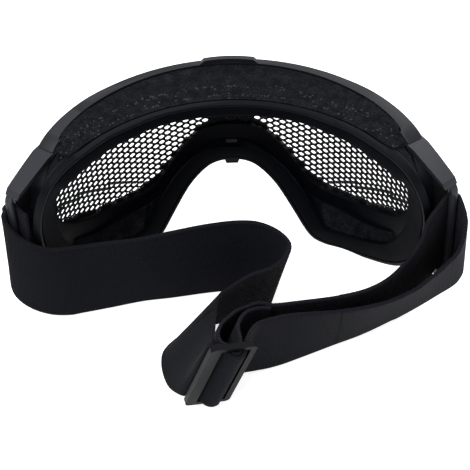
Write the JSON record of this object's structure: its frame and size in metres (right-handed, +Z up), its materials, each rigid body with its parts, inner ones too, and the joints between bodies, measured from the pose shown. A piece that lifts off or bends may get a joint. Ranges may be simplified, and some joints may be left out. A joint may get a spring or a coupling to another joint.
{
  "type": "mesh safety goggles",
  "caption": "Goggles with a curved perforated lens, a two-part frame with face seal and brow foam, swivelling strap clips and an adjustable elastic strap.",
  "frame": {"origin": "on the floor plane under the middle of the whole part's bounding box", "axes": "+Z up from the rest plane, +Y from the face towards the front of the goggles, +X to the right in the view from behind"},
  "size_m": [0.1826, 0.1228, 0.082],
  "materials": {
    "rim": "satin black",
    "frame": "matte black",
    "mesh": "matte black perforated sheet",
    "seal": "soft matte",
    "foam": "open-cell foam",
    "pin": "plain",
    "strap": "woven elastic",
    "clip": "satin dark grey",
    "glide": "satin dark grey"
  },
  "bodies": {
    "frame": {"front_bezel": "rim", "frame_body": "frame", "mesh_lens": "mesh", "face_seal": "seal", "brow_vent_foam": "foam", "cheek_vent_foam_left": "foam", "cheek_vent_foam_right": "foam", "pivot_pin_left_upper": "pin", "pivot_pin_left_lower": "pin", "pivot_pin_right_upper": "pin", "pivot_pin_right_lower": "pin", "strap_left": "strap", "strap_right": "strap"},
    "clip_left": {"strap_clip_left": "clip"},
    "clip_right": {"strap_clip_right": "clip"},
    "slider": {"tri_glide": "glide"}
  },
  "joints": [
    {"name": "clip_right_swivel", "type": "hinge", "parent": "frame", "child": "clip_right", "pos_m": [0.07131, 0.01988, 0.0445], "axis": [0, 0, 1], "range_deg": [0, 25], "deforming": ["strap_right"]},
    {"name": "clip_left_swivel", "type": "hinge", "parent": "frame", "child": "clip_left", "pos_m": [-0.07343, 0.01988, 0.0445], "axis": [0, 0, -1], "range_deg": [0, 25], "deforming": ["strap_left"]},
    {"name": "slider_adjust", "type": "slide", "parent": "frame", "child": "slider", "axis": [0.9318, 0.2805, -0.2304], "range_m": [-0.011, 0.005], "deforming": ["strap_left", "strap_right"]}
  ]
}
